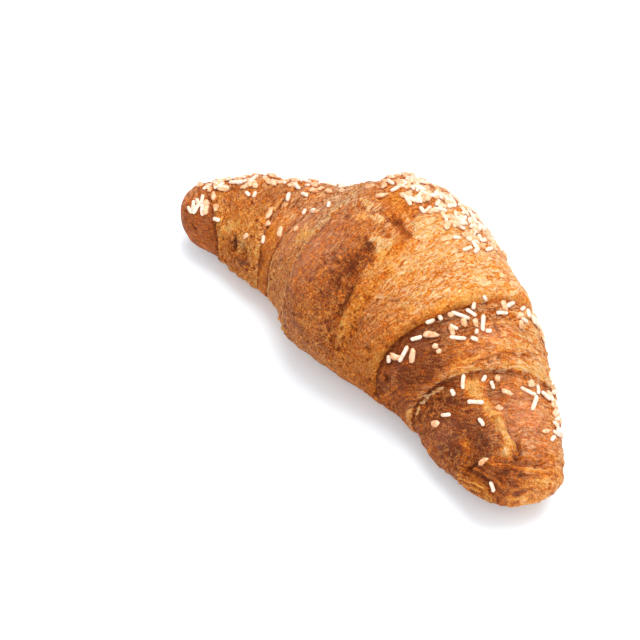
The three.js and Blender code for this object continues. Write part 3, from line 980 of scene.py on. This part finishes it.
class Surface:
    """A material in the making. Most methods add nodes and return their output."""

    def __init__(self, name):
        self.material = bpy.data.materials.new(name)
        self.material.use_nodes = True
        self.tree = self.material.node_tree
        self.tree.nodes.clear()
        self.shader = self.node("BsdfPrincipled", {})
        self.node("OutputMaterial", {"Surface": self.shader.outputs["BSDF"]})

    def feed(self, made, values):
        """Sets a node's inputs to numbers, or links them to other nodes' outputs."""
        for key, value in values.items():
            if isinstance(value, bpy.types.NodeSocket):
                self.tree.links.new(value, made.inputs[key])
            else:
                made.inputs[key].default_value = value

    def finish(self, values):
        self.feed(self.shader, values)
        return self.material

    def node(self, kind, values, **settings):
        made = self.tree.nodes.new("ShaderNode" + kind)
        for key, value in settings.items():
            setattr(made, key, value)
        self.feed(made, values)
        return made

    def maths(self, operation, *values, kind="Math", **settings):
        made = self.node(kind, dict(enumerate(values)), operation=operation, **settings)
        return made.outputs[0]

    def times(self, a, b, **settings):
        return self.maths("MULTIPLY", a, b, **settings)

    def add_up(self, total, textures, shares):
        """The total plus each texture times its share."""
        for name, share in shares.items():
            total = self.maths("MULTIPLY_ADD", textures[name], share, total)
        return total

    def attribute(self, name, output="Fac"):
        return self.node("Attribute", {}, attribute_name=name).outputs[output]

    def places(self):
        return self.node("TexCoord", {}).outputs["Object"]

    def warped(self, vector, scale, amount):
        """Coordinates pushed about by noise, so that patterns don't look regular."""
        push = self.node("TexNoise", {"Vector": vector, "Scale": scale, "Detail": 2}).outputs["Color"]
        centred = self.maths("SUBTRACT", push, (0.5, 0.5, 0.5), kind="VectorMath")
        return self.maths("MULTIPLY_ADD", centred, (amount, amount, amount), vector, kind="VectorMath")

    def squeezed(self, vector, across):
        return self.times(vector, (1, across, across), kind="VectorMath")

    def noise(self, vector, scale, detail, roughness, distortion):
        """Noise centred on zero, about -0.25 to 0.25."""
        values = {"Vector": vector, "Scale": scale, "Detail": detail, "Roughness": roughness}
        made = self.node("TexNoise", values | {"Distortion": distortion})
        return self.maths("SUBTRACT", made.outputs["Fac"], 0.5)

    def band(self, value, start, end):
        """0 before start, 1 beyond end, and smooth between."""
        values = {"Value": value, "From Min": start, "From Max": end}
        return self.node("MapRange", values, interpolation_type="SMOOTHSTEP").outputs[0]

    def cells(self, vector, scale, seam):
        """Small rounded cells: 0 in the seams between them, towards 1 in their middles."""
        made = self.node("TexVoronoi", {"Vector": vector, "Scale": scale}, feature="DISTANCE_TO_EDGE")
        return self.band(made.outputs["Distance"], 0, seam)

    def mix(self, factor, a, b):
        return self.node("Mix", {0: factor, 6: a, 7: b}, data_type="RGBA").outputs[2]

    def ramp(self, factor, stops):
        ramp = self.node("ValToRGB", {"Fac": factor})
        elements = ramp.color_ramp.elements
        while len(elements) < len(stops):
            elements.new(0.5)
        for element, (place, colour) in zip(elements, stops):
            element.position = place
            element.color = linear(colour)
        return ramp.outputs["Color"]

    def bump(self, height, depth, strength):
        values = {"Strength": strength, "Distance": depth, "Height": height}
        return self.node("Bump", values).outputs["Normal"]


def crust_textures(skin):
    """Everything that varies over the crust, by name."""
    look = SimpleNamespace(**{name: skin.attribute(name) for name in FIELDS})
    where = skin.warped(skin.places(), WARP_SCALE, WARP)
    strata = skin.attribute("strata", "Vector")
    dull = skin.maths("SUBTRACT", 1, skin.times(look.glossy, GLOSS_DULLS), use_clamp=True)
    look.mottle = skin.times(skin.noise(where, *MOTTLE), look.uneven)
    look.speckle = skin.times(skin.times(skin.noise(where, *SPECKLE), look.uneven), dull)
    look.fibres = skin.times(skin.noise(skin.squeezed(strata, FIBRE_WIDTH), *FIBRES), look.laminated)
    look.scales = skin.times(skin.noise(skin.squeezed(strata, SCALE_WIDTH), *SCALES), dull)
    cells = skin.maths("SUBTRACT", skin.cells(where, CELL_SCALE, CELL_SEAM), CELL_LEVEL)
    look.cells = skin.times(cells, skin.times(look.blistered, dull))
    # Pits: dents in the bump, darkened with painted shade
    look.pits = skin.times(skin.band(skin.noise(where, *PITS), *PIT_EDGE), look.blistered)
    # Light curls of flake on blisters, and painted glints: the same pale specks strewn more thinly over all
    # of the crust
    curls = skin.band(skin.maths("ABSOLUTE", skin.noise(where, *CURLS)), *CURL_EDGE)
    broken = skin.band(skin.noise(where, *BREAKS), *BREAK_EDGE)
    curl_and_glint_weight = skin.maths("ADD", look.blistered, GLINTS_EVERYWHERE)
    look.curls = skin.times(curls, skin.times(broken, curl_and_glint_weight))
    return look


def crust_material():
    """Baked dough: browned unevenly, with pale flakes, streaks along the layers and shiny egg wash; light
    curls with painted glints among them, and a painted sheen where the egg wash shines.
    """
    skin = Surface("crust")
    look = crust_textures(skin)
    brown = skin.maths("MINIMUM", skin.add_up(look.brown, vars(look), BROWNING), 1)
    colour = skin.ramp(brown, CRUST_COLOURS)
    flake = skin.times(skin.band(look.scales, *FLAKE_EDGE), look.pale, use_clamp=True)
    colour = skin.mix(skin.times(flake, FLAKE_SHARE), colour, linear(PALE_FLAKE))
    colour = skin.mix(skin.times(look.curls, CURL_SHARE), colour, linear(CURL_AND_GLINT))
    # Painted sheen: the lamps' reflection on shiny egg wash, mixed into the colour where it is glossy
    painted_sheen = skin.times(skin.band(look.mottle, *SHEEN_EDGE), look.glossy, use_clamp=True)
    colour = skin.mix(skin.times(painted_sheen, SHEEN_SHARE), colour, linear(SHEEN_COLOUR))
    values = {
        "Base Color": colour,
        "Normal": skin.bump(skin.add_up(0, vars(look), RELIEF), BUMP, 1),
        "Roughness": skin.add_up(ROUGHNESS, vars(look), ROUGHENING),
        "Specular IOR Level": SPECULAR,
    }
    return skin.finish(values)


def sugar_material(name, light, dark):
    skin = Surface(name)
    blotch = skin.noise(skin.places(), *BLOTCH)
    values = {
        "Base Color": skin.mix(skin.band(blotch, *BLOTCH_EDGE), linear(light), linear(dark)),
        "Normal": skin.bump(blotch, SUGAR_BUMP, SUGAR_BUMP_STRENGTH),
        "Roughness": 0.5,
        "Subsurface Weight": 0.3,
        "Subsurface Radius": (1, 0.6, 0.4),
        "Subsurface Scale": 0.0008,
    }
    return skin.finish(values)


# ==== camera, light and floor
def aim(thing, direction, distance, target=Vector()):
    """Puts a camera or lamp in a direction from its target, facing it."""
    towards = Vector(direction).normalized()
    thing.location = target + towards * distance
    thing.rotation_euler = towards.to_track_quat("Z", "Y").to_euler()
    bpy.context.scene.collection.objects.link(thing)


def make_camera():
    data = bpy.data.cameras.new("camera")
    data.lens = LENS
    data.sensor_width = SENSOR
    camera = bpy.data.objects.new("camera", data)
    azimuth, elevation = math.radians(CAMERA_AZIMUTH), math.radians(CAMERA_ELEVATION)
    level = math.cos(elevation)
    direction = (math.sin(azimuth) * level, -math.cos(azimuth) * level, math.sin(elevation))
    aim(camera, direction, CAMERA_DISTANCE, CAMERA_TARGET)
    bpy.context.scene.camera = camera


def make_light():
    for name, (direction, distance, size, power) in LAMPS.items():
        data = bpy.data.lights.new(name, "AREA")
        data.size = size
        data.energy = power
        aim(bpy.data.objects.new(name, data), direction, distance)
    world = bpy.data.worlds.new("studio")
    world.use_nodes = True
    background = world.node_tree.nodes["Background"]
    background.inputs["Color"].default_value = (1, 1, 1, 1)
    background.inputs["Strength"].default_value = WORLD_STRENGTH
    bpy.context.scene.world = world
    bpy.context.scene.view_settings.view_transform = "Standard"


def make_floor():
    """A white table that glows a little, so that the shadow stays as light as in the photograph."""
    values = {
        "Base Color": FLOOR_COLOUR,
        "Roughness": 0.9,
        "Emission Color": (1, 1, 1, 1),
        "Emission Strength": FLOOR_GLOW,
    }
    corners = [(x * FLOOR_HALF, y * FLOOR_HALF, 0) for x, y in ((-1, -1), (1, -1), (1, 1), (-1, 1))]
    material = Surface("pale floor").finish(values)
    mesh_object("floor", corners, [(0, 1, 2, 3)], material)


def make_croissant():
    crust, shift = make_crust(crust_material())
    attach(crust, "root")
    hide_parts("croissant")
    white = sugar_material("white sugar", WHITE_SUGAR, CREAM_SUGAR)
    toasted = sugar_material("toasted sugar", PINK_SUGAR, AMBER_SUGAR)
    make_sugar(Ground(crust, shift), white, toasted)


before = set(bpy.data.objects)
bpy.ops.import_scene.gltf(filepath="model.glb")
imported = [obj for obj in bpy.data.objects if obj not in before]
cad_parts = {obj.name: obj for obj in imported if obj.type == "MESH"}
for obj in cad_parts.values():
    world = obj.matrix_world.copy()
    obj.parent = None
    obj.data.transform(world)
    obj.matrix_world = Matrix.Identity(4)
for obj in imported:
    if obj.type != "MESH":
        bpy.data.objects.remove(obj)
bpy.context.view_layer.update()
make_camera()
make_light()
make_floor()
make_croissant()
